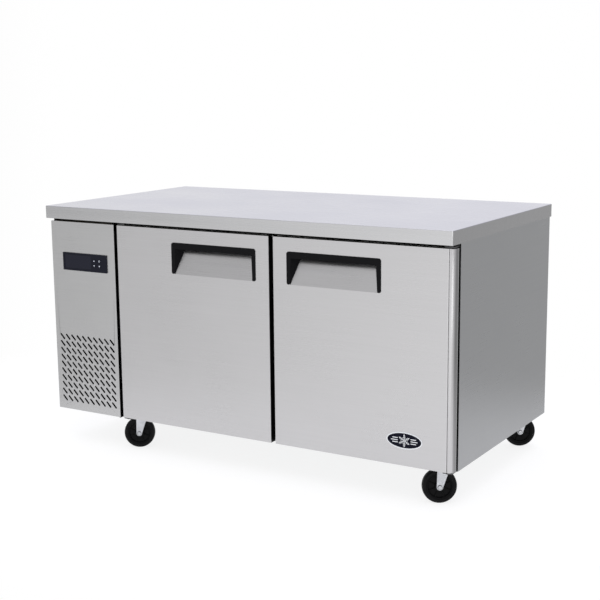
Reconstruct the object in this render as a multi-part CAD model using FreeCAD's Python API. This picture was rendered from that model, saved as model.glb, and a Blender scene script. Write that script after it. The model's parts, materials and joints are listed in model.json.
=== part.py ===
"""Two-door undercounter refrigerator with a side-mounted cooling unit, on four swivel casters.

Frame: +Z up, the doors face -Y, +X is to the right of someone standing in front of them.
The origin is on the floor, under the middle of the worktop. All sizes are in millimetres.
The machine compartment is on the left, behind a vented control panel. The refrigerated cabinet
takes the rest of the width, with two doors that open away from each other.
"""
import FreeCAD
import Part
import math
import os

# ---------------------------------------------------------------- driving dimensions
WIDTH = 1440.0
DEPTH = 760.0
HEIGHT = 790.0

SHEET = 1.2                 # outer stainless sheet
LINER = 1.0                 # inner liner sheet
APRON = 40.0                # height of the worktop's folded edge
SIDE_INSET = 1.8            # side panels behind the worktop's ends
REAR_INSET = 12.0           # rear panel behind the worktop's rear edge
FACE_INSET = 22.0           # door faces behind the worktop's front edge
BODY_BOTTOM = 108.0         # lower edge of the side panels
BASE_Z = 120.0              # underside of the base plate
BASE_THICK = 3.0

PANEL_WIDTH = 263.0         # control panel, measured from the worktop's left end
PANEL_GAP = 12.0            # between the control panel and the left door
DOOR_WIDTH = 569.0
DOOR_GAP = 16.0             # between the two doors
RIGHT_DOOR_END = 4.0        # right door's edge behind the worktop's right end
DOOR_Z0 = 111.0
DOOR_Z1 = 738.0
DOOR_PAN = 25.0             # depth of the door's outer pan
GASKET_GAP = 11.0           # door pan to cabinet front
PLUG_DEPTH = 34.0           # raised part of the door's inner liner
CAP = 6.0                   # thickness of the doors' end caps
BEAD_HALF = 1.4             # half width of the pressed bead beside the right door's hinge edge
BEAD_DEPTH = 3.0
BEAD_WALL = 0.6
BEAD_LIP = (2.6, 0.5)       # width and depth of the pressed slope into the bead

HINGE_IN = 16.0             # hinge axis from the door's edge
HINGE_BACK = 12.0           # hinge axis behind the door's face
PIN_R = 5.0
BUSH_R = 8.0
RUNNING = 0.06              # radial clearance of a running fit

WHEEL_R = 50.0
WHEEL_WIDTH = 30.0
TRAIL = 18.0                # axle behind the kingpin
CASTER_TURN = 31.0          # degrees that the casters stand turned at rest

# ---------------------------------------------------------------- derived places
LEFT, RIGHT = -WIDTH / 2, WIDTH / 2
FRONT, REAR = -DEPTH / 2, DEPTH / 2
TOP_UNDER = HEIGHT - APRON
FACE_Y = FRONT + FACE_INSET
PAN_BACK_Y = FACE_Y + DOOR_PAN
CABINET_Y = PAN_BACK_Y + GASKET_GAP
BODY_REAR = REAR - REAR_INSET
BODY_LEFT = LEFT + SIDE_INSET
BODY_RIGHT = RIGHT - SIDE_INSET
PANEL_X1 = LEFT + PANEL_WIDTH
LEFT_DOOR = (PANEL_X1 + PANEL_GAP, PANEL_X1 + PANEL_GAP + DOOR_WIDTH)
RIGHT_DOOR = (LEFT_DOOR[1] + DOOR_GAP, RIGHT - RIGHT_DOOR_END)
HINGE_Y = FACE_Y + HINGE_BACK
LEFT_HINGE_X = LEFT_DOOR[0] + HINGE_IN
RIGHT_HINGE_X = RIGHT_DOOR[1] - HINGE_IN
BASE_TOP = BASE_Z + BASE_THICK

FRAME_THICK = 3.0
MULLION_HALF = 24.0
MULLION_DEPTH = 50.0
MULLION_X = (LEFT_DOOR[1] + RIGHT_DOOR[0]) / 2
BULKHEAD_X = LEFT + 258.0                       # machine side of the insulated bulkhead
OPENING_Z = (172.0, 700.0)
LEFT_OPENING = (LEFT_DOOR[0] + 35.0, MULLION_X - MULLION_HALF)
RIGHT_OPENING = (MULLION_X + MULLION_HALF, RIGHT_DOOR[1] - 48.0)
LIP = 4.0                                       # frame stands this far past the liner's walls
CAVITY_X = (LEFT_OPENING[0] - LIP, RIGHT_OPENING[1] + LIP)
CAVITY_Y = (CABINET_Y + FRAME_THICK, BODY_REAR - 50.0)
CAVITY_Z = (OPENING_Z[0] - LIP, OPENING_Z[1] + LIP)
SHELF_Z = 425.0

HANDLE_WIDTH = 308.0
HANDLE_MARGIN = 46.0                            # from the door's free edge
HANDLE_Z = (600.0, 697.5)
POCKET_DEPTH = 32.0
POCKET_TAPER = 19.5                             # each side wall leans in by this over the depth
MOUTH_TOP_Z = 677.5
ROOF_Z = 687.0
SLOPE_TOP_Z = 684.0                             # where the pocket's sloping plate ends
RIM_TOP, RIM_LOW = 14.5, 12.0                   # width of the handle's legs, above and below
RIM_PROUD = 1.5
PLATE_DROP = SHEET * math.hypot(POCKET_DEPTH, SLOPE_TOP_Z - HANDLE_Z[0]) / POCKET_DEPTH

DISPLAY_CX, DISPLAY_CZ = LEFT + 140.5, 610.0
DISPLAY_W, DISPLAY_H = 183.0, 58.0
BEZEL_PROUD = 3.0

VENT_COLUMNS, VENT_ROWS = 10, 10
VENT_PITCH = 23.3
VENT_LENGTH, VENT_WIDTH = 25.0, 6.5
VENT_CX, VENT_CZ = LEFT + 134.3, 250.5
PANEL_SCREW_X = (BODY_LEFT + 30.0, PANEL_X1 - 34.0)
PANEL_SCREW_Y = FACE_Y + 7.0

BADGE_X, BADGE_Z = LEFT + 1289.0, 185.0
BADGE_HALF = (56.0, 24.5)

GLAND_X, GLAND_Z, GLAND_R = LEFT + 205.0, 205.0, 8.0
GLAND_Y = (BODY_REAR - 14.0, BODY_REAR + 9.0)
CORD_R = 4.5

FAN_X, FAN_Z = LEFT + 130.0, 250.0
CONDENSER_Y = (FRONT + 62.0, FRONT + 106.0)
SHROUD_Y = (CONDENSER_Y[1] + 1.0, CONDENSER_Y[1] + 31.0)
COMPRESSOR_X, COMPRESSOR_Y = LEFT + 130.0, 95.0
EVAP_X = (LEFT + 400.0, LEFT + 760.0)
EVAP_Y = (CAVITY_Y[1] - 92.0, CAVITY_Y[1])
EVAP_Z = (500.0, CAVITY_Z[1] - 2.0)
EVAP_FAN_X, EVAP_FAN_Z = (EVAP_X[0] + EVAP_X[1]) / 2, (EVAP_Z[0] + EVAP_Z[1]) / 2

PILASTER_W, PILASTER_D = 14.0, 8.0
SHELF_SIDES = [(CAVITY_X[0] + 14.0, MULLION_X - 20.0), (MULLION_X + 20.0, CAVITY_X[1] - 14.0)]
SHELF_Y = (CABINET_Y + MULLION_DEPTH + 16.0, CAVITY_Y[1] - 14.0)
WALL_PILASTER_Y = (SHELF_Y[0] + 12.0, SHELF_Y[1] - 26.0)

LOW_BRACKET_Z = (107.2, 110.4)
TOP_BRACKET_Z = (740.5, 744.0)

CASTER_X = (LEFT + 309.0, LEFT + 1386.0)
CASTER_Y = (FRONT + 91.0, FRONT + 712.0)
CROWN_Z = (103.0, 106.0)                        # top of the fork
RACE_Z = 112.0                                  # between the fork's race and the plate's
LEG_Y = (WHEEL_WIDTH / 2 + 2.5, WHEEL_WIDTH / 2 + 5.0)
TIP_R = 9.0
AXLE_R = 4.0
CASTERS = {
    "front_left": (CASTER_X[0], CASTER_Y[0]),
    "front_right": (CASTER_X[1], CASTER_Y[0]),
    "rear_left": (CASTER_X[0], CASTER_Y[1]),
    "rear_right": (CASTER_X[1], CASTER_Y[1]),
}

BUTTON_W, BUTTON_H = 10.6, 8.6
BUTTON_PROUD = 1.0
BUTTONS = {
    "button_up": (DISPLAY_CX + 40.5, DISPLAY_CZ + 8.0),
    "button_power": (DISPLAY_CX + 62.0, DISPLAY_CZ + 8.0),
    "button_down": (DISPLAY_CX + 40.5, DISPLAY_CZ - 8.0),
    "button_set": (DISPLAY_CX + 62.0, DISPLAY_CZ - 8.0),
}
WINDOW = (DISPLAY_CX - 84.0, DISPLAY_CX + 26.0)

V = FreeCAD.Vector
X_AXIS, Y_AXIS, Z_AXIS = V(1, 0, 0), V(0, 1, 0), V(0, 0, 1)
BIG = 2000.0


# ---------------------------------------------------------------- shape helpers
def block(x, y, z):
    """A box between pairs of limits, given in either order."""
    (x0, x1), (y0, y1), (z0, z1) = sorted(x), sorted(y), sorted(z)
    return Part.makeBox(x1 - x0, y1 - y0, z1 - z0, V(x0, y0, z0))


def rod(radius, start, end):
    """A round bar between two points."""
    run = V(*end) - V(*start)
    return Part.makeCylinder(radius, run.Length, V(*start), run)


def tube(outer, inner, start, end):
    """A round bar with a bore right through it."""
    run = V(*end) - V(*start)
    past = V(run).normalize()
    hole = Part.makeCylinder(inner, run.Length + 2, V(*start) - past, run)
    return rod(outer, start, end).cut(hole)


def prism(points, direction):
    """A closed polygon pushed along a direction."""
    corners = [V(*p) for p in points]
    face = Part.Face(Part.makePolygon(corners + corners[:1]))
    return face.extrude(V(*direction))


def frustum(low, high):
    """A solid between two level outlines with the same number of corners."""
    low, high = [V(*p) for p in low], [V(*p) for p in high]
    outlines = [low, high]
    for i in range(len(low)):
        j = (i + 1) % len(low)
        outlines.append([low[i], low[j], high[j], high[i]])
    faces = [Part.Face(Part.makePolygon(ring + ring[:1])) for ring in outlines]
    solid = Part.Solid(Part.Shell(faces))
    if solid.Volume < 0:
        solid.reverse()
    return solid


def rounded_plate(x, z, y, radius):
    """An upright plate facing -Y with four rounded corners."""
    plate = block(x, y, z)
    upright = [e for e in plate.Edges if abs(e.tangentAt(e.FirstParameter).y) > 0.99]
    return plate.makeFillet(radius, upright)


def slot_cutter(cx, cz, length, width, angle, y):
    """An obround bar along Y, turned by an angle in the XZ plane."""
    half = length / 2 - width / 2
    bar = block((cx - half, cx + half), y, (cz - width / 2, cz + width / 2))
    ends = [rod(width / 2, (cx + s * half, y[0], cz), (cx + s * half, y[1], cz)) for s in (-1, 1)]
    cutter = bar.fuse(ends).removeSplitter()
    cutter.rotate(V(cx, 0, cz), Y_AXIS, angle)
    return cutter


def bent_tube(points, radius, bend):
    """A pipe along straight runs that are joined by arcs of one radius."""
    corners = [V(*p) for p in points]
    edges = []
    start = corners[0]
    for before, corner, after in zip(corners, corners[1:], corners[2:]):
        back = (before - corner).normalize()
        ahead = (after - corner).normalize()
        half = back.getAngle(ahead) / 2
        reach = bend / math.tan(half)
        first, last = corner + back * reach, corner + ahead * reach
        centre = corner + (back + ahead).normalize() * (bend / math.sin(half))
        middle = centre + (corner - centre).normalize() * bend
        edges.append(Part.LineSegment(start, first).toShape())
        edges.append(Part.Arc(first, middle, last).toShape())
        start = last
    edges.append(Part.LineSegment(start, corners[-1]).toShape())
    path = Part.Wire(edges)
    ring = Part.Wire(Part.makeCircle(radius, corners[0], corners[1] - corners[0]))
    return path.makePipeShell([ring], True, False)


# ---------------------------------------------------------------- worktop and cabinet shell
def worktop():
    """Folded stainless pan: flat top, apron all round and a short return under it."""
    outer = block((LEFT, RIGHT), (FRONT, REAR), (TOP_UNDER, HEIGHT))
    corners = [e for e in outer.Edges if abs(e.tangentAt(e.FirstParameter).z) > 0.99]
    outer = outer.makeFillet(3.5, corners)
    rim = [e for e in outer.Edges if min(v.Z for v in e.Vertexes) > HEIGHT - 0.01]
    outer = outer.makeFillet(2.0, rim)
    hole = block((LEFT + 18, RIGHT - 18), (FRONT + 18, REAR - 18), (TOP_UNDER - 1, TOP_UNDER + 5))
    return outer.cut([worktop_core(), hole])


def worktop_core():
    """Stiffening board that fills the worktop pan."""
    x = (LEFT + SHEET, RIGHT - SHEET)
    y = (FRONT + SHEET, REAR - SHEET)
    return block(x, y, (TOP_UNDER + SHEET, HEIGHT - SHEET))


def side_panel(x_out, x_in, y_front):
    """Side skin with a flange turned inwards along its bottom edge."""
    skin = block((x_out, x_in), (y_front, BODY_REAR), (BODY_BOTTOM, TOP_UNDER - 0.2))
    inward = 1 if x_in > x_out else -1
    flange_end = x_in + inward * 9.0
    z = (BODY_BOTTOM, BODY_BOTTOM + SHEET)
    bottom = block((x_in, flange_end), (CABINET_Y + 6, BODY_REAR), z)
    return skin.fuse(bottom).removeSplitter()


def rear_panel():
    """Rear skin of the cabinet, right of the machine compartment."""
    x = (BULKHEAD_X, BODY_RIGHT - SHEET - 0.2)
    return block(x, (BODY_REAR - SHEET, BODY_REAR), (BODY_BOTTOM + 2, TOP_UNDER - 0.2))


def rear_grille():
    """Louvred cover over the back of the machine compartment, with the cord's hole."""
    x = (BODY_LEFT + SHEET + 0.2, BULKHEAD_X - 0.4)
    y = (BODY_REAR - SHEET, BODY_REAR)
    plate = block(x, y, (BODY_BOTTOM + 2, TOP_UNDER - 0.2))
    middle = (x[0] + x[1]) / 2
    cutters = []
    for row in range(14):
        z = 300.0 + row * 28.0
        for column in (-1, 1):
            cx = middle + column * 56
            cutters.append(slot_cutter(cx, z, 92.0, 7.0, 0.0, (y[0] - 2, y[1] + 2)))
    cutters.append(rod(GLAND_R, (GLAND_X, y[0] - 2, GLAND_Z), (GLAND_X, y[1] + 2, GLAND_Z)))
    return plate.cut(cutters)


def cable_gland():
    """Nylon gland that clamps the mains cord where it enters the machine compartment."""
    body = rod(GLAND_R - 0.05, (GLAND_X, GLAND_Y[0], GLAND_Z), (GLAND_X, BODY_REAR, GLAND_Z))
    nut = Part.makeCylinder(12.0, 6.0, V(GLAND_X, BODY_REAR, GLAND_Z), Y_AXIS)
    nut_end = V(GLAND_X, BODY_REAR + 6, GLAND_Z)
    dome = Part.makeCone(10.5, 7.0, GLAND_Y[1] - nut_end.y, nut_end, Y_AXIS)
    bore = rod(CORD_R, (GLAND_X, GLAND_Y[0] - 1, GLAND_Z), (GLAND_X, GLAND_Y[1] + 1, GLAND_Z))
    return body.fuse([nut, dome]).cut(bore).removeSplitter()


def base_plate():
    """Flat steel base that carries the cabinet and takes the casters."""
    x = (BODY_LEFT + SHEET + 0.2, BODY_RIGHT - SHEET - 0.2)
    plate = block(x, (CABINET_Y + FRAME_THICK + 0.2, BODY_REAR - SHEET - 0.2), (BASE_Z, BASE_TOP))
    machine = block(
        (x[0], BULKHEAD_X - 6), (FACE_Y + 2, CABINET_Y + FRAME_THICK + 0.2), (BASE_Z, BASE_TOP)
    )
    return plate.fuse(machine).removeSplitter()


def cabinet_insulation():
    """Foam slabs round the cavity: base, roof, bulkhead, right wall and rear wall."""
    x = (BULKHEAD_X, BODY_RIGHT - SHEET - 0.2)
    y = (CAVITY_Y[0], BODY_REAR - SHEET)
    z = (BASE_TOP, TOP_UNDER - 0.2)
    wall_x = (CAVITY_X[0] - LINER, CAVITY_X[1] + LINER)
    wall_z = (CAVITY_Z[0] - LINER, CAVITY_Z[1] + LINER)
    rear_y = CAVITY_Y[1] + LINER
    return [
        block(x, y, (z[0], wall_z[0])),
        block(x, y, (wall_z[1], z[1])),
        block((x[0], wall_x[0]), y, wall_z),
        block((wall_x[1], x[1]), y, wall_z),
        block(wall_x, (rear_y, y[1]), wall_z),
    ]


def inner_liner():
    """Sheet liner of the cabinet, open at the front, with coved inner corners."""
    outer = block(
        (CAVITY_X[0] - LINER, CAVITY_X[1] + LINER),
        (CAVITY_Y[0], CAVITY_Y[1] + LINER),
        (CAVITY_Z[0] - LINER, CAVITY_Z[1] + LINER),
    )
    return outer.cut(block(CAVITY_X, (CAVITY_Y[0] - 1, CAVITY_Y[1]), CAVITY_Z))


def front_frame():
    """Black breaker frame that the door gaskets close on, with its centre mullion."""
    y = (CABINET_Y, CAVITY_Y[0])
    x0, x1 = BULKHEAD_X, BODY_RIGHT - SHEET - 0.2
    z0, z1 = BODY_BOTTOM - 0.5, TOP_UNDER - 0.2
    stiles = [block((x0, LEFT_OPENING[0]), y, (z0, z1)), block((RIGHT_OPENING[1], x1), y, (z0, z1))]
    rail_x = (LEFT_OPENING[0], RIGHT_OPENING[1])
    rails = [block(rail_x, y, (z0, OPENING_Z[0])), block(rail_x, y, (OPENING_Z[1], z1))]
    mullion = block((LEFT_OPENING[1], RIGHT_OPENING[0]), y, OPENING_Z)
    post = block((LEFT_OPENING[1], RIGHT_OPENING[0]), (y[1], y[0] + MULLION_DEPTH), CAVITY_Z)
    panel_post = block((x0 - 1, PANEL_X1 - 1.5), (FACE_Y + SHEET + 0.2, CABINET_Y), (z0, z1))
    return stiles + rails + [mullion.fuse(post).removeSplitter(), panel_post]


# ---------------------------------------------------------------- control panel and display
def control_panel():
    """Sheet in front of the machine compartment, with the display cut-out and slanted vents."""
    x = (BODY_LEFT, PANEL_X1)
    z = (DOOR_Z0 - 1.5, DOOR_Z1 + 1.0)
    sheet = block(x, (FACE_Y, FACE_Y + SHEET), z)
    returns = [
        block((x[0], x[0] + SHEET), (FACE_Y, FACE_Y + 14), z),
        block((x[0], x[1] - 8), (FACE_Y, FACE_Y + 12), (z[0], z[0] + SHEET)),
        block((x[0], x[1] - 8), (FACE_Y, FACE_Y + 12), (z[1] - SHEET, z[1])),
    ]
    panel = sheet.fuse(returns).removeSplitter()
    through = (FACE_Y - 2, FACE_Y + 4)
    window = block(
        (DISPLAY_CX - DISPLAY_W / 2 + 5, DISPLAY_CX + DISPLAY_W / 2 - 5),
        through,
        (DISPLAY_CZ - DISPLAY_H / 2 + 5, DISPLAY_CZ + DISPLAY_H / 2 - 5),
    )
    cutters = [window]
    for row in range(VENT_ROWS):
        for column in range(VENT_COLUMNS):
            cx = VENT_CX + (column - (VENT_COLUMNS - 1) / 2) * VENT_PITCH
            cz = VENT_CZ + (row - (VENT_ROWS - 1) / 2) * VENT_PITCH
            cutters.append(slot_cutter(cx, cz, VENT_LENGTH, VENT_WIDTH, 45.0, through))
    for cx in PANEL_SCREW_X:
        cutters.append(rod(2.2, (cx, PANEL_SCREW_Y, z[0] - 1), (cx, PANEL_SCREW_Y, z[0] + 3)))
    return panel.cut(cutters)


def panel_screw(cx):
    """Screw up through the control panel's lower return into the base plate."""
    low = DOOR_Z0 - 1.5
    shank = rod(2.0, (cx, PANEL_SCREW_Y, low), (cx, PANEL_SCREW_Y, BASE_Z))
    head = Part.makeCone(2.4, 4.0, 2.0, V(cx, PANEL_SCREW_Y, low - 2.0), Z_AXIS)
    return shank.fuse(head).removeSplitter()


def display_bezel():
    """Raised black frame of the temperature controller, with a lens opening and four key holes."""
    x = (DISPLAY_CX - DISPLAY_W / 2, DISPLAY_CX + DISPLAY_W / 2)
    z = (DISPLAY_CZ - DISPLAY_H / 2, DISPLAY_CZ + DISPLAY_H / 2)
    plate = rounded_plate(x, z, (FACE_Y - BEZEL_PROUD, FACE_Y), 2.0)
    neck = block((x[0] + 5.2, x[1] - 5.2), (FACE_Y, FACE_Y + 6), (z[0] + 5.2, z[1] - 5.2))
    body = plate.fuse(neck).removeSplitter()
    through = (FACE_Y - BEZEL_PROUD - 1, FACE_Y + 8)
    cutters = [block(WINDOW, through, (z[0] + 7, z[1] - 7))]
    for cx, cz in BUTTONS.values():
        half_w, half_h = BUTTON_W / 2 + 0.2, BUTTON_H / 2 + 0.2
        cutters.append(block((cx - half_w, cx + half_w), through, (cz - half_h, cz + half_h)))
    return body.cut(cutters)


def display_window():
    """Dark lens over the temperature digits."""
    return block(
        (WINDOW[0] + 0.1, WINDOW[1] - 0.1),
        (FACE_Y - BEZEL_PROUD + 0.8, FACE_Y - BEZEL_PROUD + 3.0),
        (DISPLAY_CZ - DISPLAY_H / 2 + 7.1, DISPLAY_CZ + DISPLAY_H / 2 - 7.1),
    )


def button(cx, cz):
    """One key of the controller; it travels straight in."""
    face = FACE_Y - BEZEL_PROUD - BUTTON_PROUD
    return rounded_plate(
        (cx - BUTTON_W / 2, cx + BUTTON_W / 2), (cz - BUTTON_H / 2, cz + BUTTON_H / 2), (face, face + 8), 1.5
    )


def controller_box():
    """Electronics housing behind the display."""
    return block(
        (DISPLAY_CX - 80, DISPLAY_CX + 80), (FACE_Y + 6, FACE_Y + 56), (DISPLAY_CZ - 32, DISPLAY_CZ + 32)
    )


# ---------------------------------------------------------------- cooling unit
def compressor():
    """Hermetic compressor: domed steel can on a foot plate, with a terminal cover."""
    z0 = BASE_TOP + 12.0
    can = Part.makeCylinder(74.0, 120.0, V(COMPRESSOR_X, COMPRESSOR_Y, z0 + 6))
    dome = Part.makeSphere(110.0, V(COMPRESSOR_X, COMPRESSOR_Y, z0 + 126 - 81.4))
    dome = dome.common(Part.makeCylinder(74.0, 60.0, V(COMPRESSOR_X, COMPRESSOR_Y, z0 + 120)))
    x = (COMPRESSOR_X - 88, COMPRESSOR_X + 88)
    feet = block(x, (COMPRESSOR_Y - 60, COMPRESSOR_Y + 60), (z0, z0 + 6))
    cover_y = (COMPRESSOR_Y - 98, COMPRESSOR_Y - 60)
    cover = block((COMPRESSOR_X - 30, COMPRESSOR_X + 30), cover_y, (z0 + 40, z0 + 100))
    return can.fuse([dome, feet, cover]).removeSplitter()


def compressor_mounts():
    """Four rubber grommets under the compressor's foot plate."""
    return [
        rod(10.0, (COMPRESSOR_X + i * 74, COMPRESSOR_Y + j * 46, BASE_TOP),
            (COMPRESSOR_X + i * 74, COMPRESSOR_Y + j * 46, BASE_TOP + 12))
        for i in (-1, 1) for j in (-1, 1)
    ]


def finned_coil(x, y, z, pitch):
    """Coil block: thin upright fins on horizontal tubes, between two end plates."""
    plates = [block((x0, x0 + 1.5), y, z) for x0 in (x[0], x[1] - 1.5)]
    count = int((x[1] - x[0] - 6) / pitch)
    step = (x[1] - x[0] - 3) / (count + 1)
    fins = [block((x[0] + 1.5 + i * step, x[0] + 2.1 + i * step), y, z) for i in range(1, count + 1)]
    rows = int((z[1] - z[0]) / 25.0)
    middle = (y[0] + y[1]) / 2
    tubes = []
    for row in range(rows):
        height = z[0] + (row + 0.5) * (z[1] - z[0]) / rows
        for shift in (-11.0, 11.0):
            tubes.append(rod(4.8, (x[0] - 9, middle + shift, height), (x[1] + 9, middle + shift, height)))
    return plates[0].fuse(plates[1:] + fins + tubes)


def condenser_fan_shroud():
    """Square shroud behind the condenser, with the motor on a cross bar."""
    x = (FAN_X - 104, FAN_X + 104)
    z = (BASE_TOP, FAN_Z + 112)
    plate = block(x, (SHROUD_Y[0], SHROUD_Y[0] + 2), z)
    hole = rod(96.0, (FAN_X, SHROUD_Y[0] - 1, FAN_Z), (FAN_X, SHROUD_Y[1] + 20, FAN_Z))
    ring = rod(98.0, (FAN_X, SHROUD_Y[0], FAN_Z), (FAN_X, SHROUD_Y[1], FAN_Z))
    shroud = plate.fuse(ring).cut(hole)
    bar_y = (SHROUD_Y[1] - 2, SHROUD_Y[1] + 2)
    bar = block((FAN_X - 102, FAN_X + 102), bar_y, (FAN_Z - 10, FAN_Z + 10))
    motor = rod(32.0, (FAN_X, bar_y[1], FAN_Z), (FAN_X, bar_y[1] + 48, FAN_Z))
    shaft = rod(4.0, (FAN_X, SHROUD_Y[0] + 6, FAN_Z), (FAN_X, bar_y[1], FAN_Z))
    return shroud.fuse([bar, motor, shaft]).removeSplitter()


def fan_rotor(cx, y, cz, radius, hub, bore, blades):
    """Axial fan turning about Y: a bored hub with pitched blades."""
    mid = (y[0] + y[1]) / 2
    body = tube(hub, bore, (cx, y[0], cz), (cx, y[1], cz))
    limit = tube(radius, hub - 2, (cx, y[0], cz), (cx, y[1], cz))
    vanes = []
    for i in range(blades):
        vane = block((cx, cx + radius + 5), (mid - 14, mid + 14), (cz - 0.9, cz + 0.9))
        vane.rotate(V(cx, mid, cz), X_AXIS, 50)
        wide = block((cx, cx + radius + 5), (mid - 14, mid + 14), (cz - 0.9, cz + 0.9))
        wide.rotate(V(cx, mid, cz), X_AXIS, 62)
        vane = vane.fuse(wide)
        vane.rotate(V(cx, mid, cz), Y_AXIS, i * 360.0 / blades)
        vanes.append(vane.common(limit))
    return body.fuse(vanes).removeSplitter()


def evaporator_cover():
    """Housing on the cabinet's rear wall, with the fan opening and an air return at the bottom."""
    outer = block(EVAP_X, EVAP_Y, EVAP_Z)
    x, z = (EVAP_X[0] + 1.5, EVAP_X[1] - 1.5), (EVAP_Z[0] + 1.5, EVAP_Z[1] - 1.5)
    inside = block(x, (EVAP_Y[0] + 1.5, EVAP_Y[1] + 1), z)
    mouth = rod(66.0, (EVAP_FAN_X, EVAP_Y[0] - 1, EVAP_FAN_Z), (EVAP_FAN_X, EVAP_Y[0] + 3, EVAP_FAN_Z))
    cutters = [inside, mouth]
    for i in range(16):
        x0 = EVAP_X[0] + 24 + i * 20.0
        slot_y = (EVAP_Y[0] + 24, EVAP_Y[0] + 70)
        cutters.append(block((x0, x0 + 10), slot_y, (EVAP_Z[0] - 1, EVAP_Z[0] + 3)))
    return outer.cut(cutters)


def evaporator_fan_motor():
    """Motor on two upright bars behind the evaporator fan."""
    y0 = EVAP_Y[0] + 34.0
    motor = rod(24.0, (EVAP_FAN_X, y0, EVAP_FAN_Z), (EVAP_FAN_X, y0 + 16, EVAP_FAN_Z))
    shaft = rod(3.0, (EVAP_FAN_X, EVAP_Y[0] + 6, EVAP_FAN_Z), (EVAP_FAN_X, y0, EVAP_FAN_Z))
    bars = []
    for x in (EVAP_FAN_X - 15, EVAP_FAN_X + 15):
        bars.append(rod(2.5, (x, y0 + 8, EVAP_Z[0] + 1.5), (x, y0 + 8, EVAP_Z[1] - 1.5)))
    return motor.fuse([shaft] + bars).removeSplitter()


def refrigerant_lines():
    """Copper discharge, liquid and suction lines, with the filter drier in the liquid line."""
    top = BASE_TOP + 110.0
    coil_x = LEFT + 240.0
    discharge = bent_tube(
        [(COMPRESSOR_X + 60, COMPRESSOR_Y - 38, top), (COMPRESSOR_X + 60, COMPRESSOR_Y - 110, top),
         (COMPRESSOR_X + 60, COMPRESSOR_Y - 110, 330), (coil_x, COMPRESSOR_Y - 110, 330),
         (coil_x, CONDENSER_Y[1] - 12, 330)], 4.0, 14.0)
    suction = bent_tube(
        [(COMPRESSOR_X - 40, COMPRESSOR_Y + 56, top), (COMPRESSOR_X - 40, COMPRESSOR_Y + 120, top),
         (COMPRESSOR_X - 40, COMPRESSOR_Y + 120, 560), (BULKHEAD_X - 1, COMPRESSOR_Y + 120, 560)], 5.0, 16.0)
    outlet = bent_tube(
        [(coil_x, CONDENSER_Y[1] - 12, 180), (coil_x, -160, 180), (coil_x - 20, -160, 180),
         (coil_x - 20, -120, 180)], 3.0, 8.0)
    drier = rod(11.0, (coil_x - 20, -120, 180), (coil_x - 20, -30, 180))
    liquid = bent_tube(
        [(coil_x - 20, -30, 180), (coil_x - 20, 190, 180), (coil_x - 20, 190, 540),
         (BULKHEAD_X - 1, 190, 540)], 3.0, 12.0)
    can = compressor()
    return [discharge.cut(can), suction.cut(can), outlet, drier, liquid]


def condensate_pan():
    """Tray that catches and evaporates the defrost water."""
    x, y = (LEFT + 24, LEFT + 170), (COMPRESSOR_Y + 130, BODY_REAR - 30)
    outer = block(x, y, (BASE_TOP, BASE_TOP + 32))
    inside = block((x[0] + 1.5, x[1] - 1.5), (y[0] + 1.5, y[1] - 1.5), (BASE_TOP + 1.5, BASE_TOP + 40))
    return outer.cut(inside)


# ---------------------------------------------------------------- shelves
def shelf_pilasters():
    """Slotted standards: two on each side wall, two behind the mullion and two on the rear wall."""
    z = (CAVITY_Z[0] + 12, CAVITY_Z[1] - 12)
    bars = []
    for wall, inward in ((CAVITY_X[0], 1), (CAVITY_X[1], -1)):
        for y0 in WALL_PILASTER_Y:
            bar = block((wall, wall + inward * PILASTER_D), (y0, y0 + PILASTER_W), z)
            slots = [block((wall + inward * 2, wall + inward * 10), (y0 + 5, y0 + 9), (h, h + 8))
                     for h in range(200, 660, 25)]
            bars.append(bar.cut(slots))
    for side in (-1, 1):
        x0 = MULLION_X + side * 12 - PILASTER_W / 2
        for y0, forward in ((CABINET_Y + MULLION_DEPTH, 1), (CAVITY_Y[1], -1)):
            bar = block((x0, x0 + PILASTER_W), (y0, y0 + forward * PILASTER_D), z)
            slots = [block((x0 + 5, x0 + 9), (y0 + forward * 2, y0 + forward * 10), (h, h + 8))
                     for h in range(200, 660, 25)]
            bars.append(bar.cut(slots))
    return bars


def shelf_clips():
    """Clips in the pilasters that carry the four corners of each shelf."""
    z = (SHELF_Z - 13, SHELF_Z - 3.2)
    clips = []
    for wall, inward in ((CAVITY_X[0], 1), (CAVITY_X[1], -1)):
        for y0 in WALL_PILASTER_Y:
            x0 = wall + inward * (PILASTER_D + 0.1)
            clips.append(block((x0, x0 + inward * 14), (y0 + 2, y0 + 12), z))
    for side in (-1, 1):
        x0 = MULLION_X + side * 12
        for y0, forward in ((CABINET_Y + MULLION_DEPTH, 1), (CAVITY_Y[1], -1)):
            start = y0 + forward * (PILASTER_D + 0.1)
            clips.append(block((x0 - 1 * side, x0 + 14 * side), (start, start + forward * 14), z))
    return clips


def wire_shelf(x):
    """Wire shelf: a rod rim, stays across it and wires from front to back."""
    (y0, y1), z = SHELF_Y, SHELF_Z
    rim_r, stay_r, wire_r = 3.2, 3.0, 1.8
    x0, x1 = x[0] + rim_r, x[1] - rim_r
    rods = [rod(rim_r, (side, y0 - 5, z), (side, y1 + 5, z)) for side in (x0, x1)]
    for share in (0.0, 0.33, 0.67, 1.0):
        y = y0 + share * (y1 - y0)
        rods.append(rod(stay_r, (x0, y, z), (x1, y, z)))
    count = 19
    for i in range(1, count + 1):
        wire_x = x0 + i * (x1 - x0) / (count + 1)
        rods.append(rod(wire_r, (wire_x, y0 - 1, z + 3.4), (wire_x, y1 + 1, z + 3.4)))
    return rods[0].fuse(rods[1:])


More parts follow.
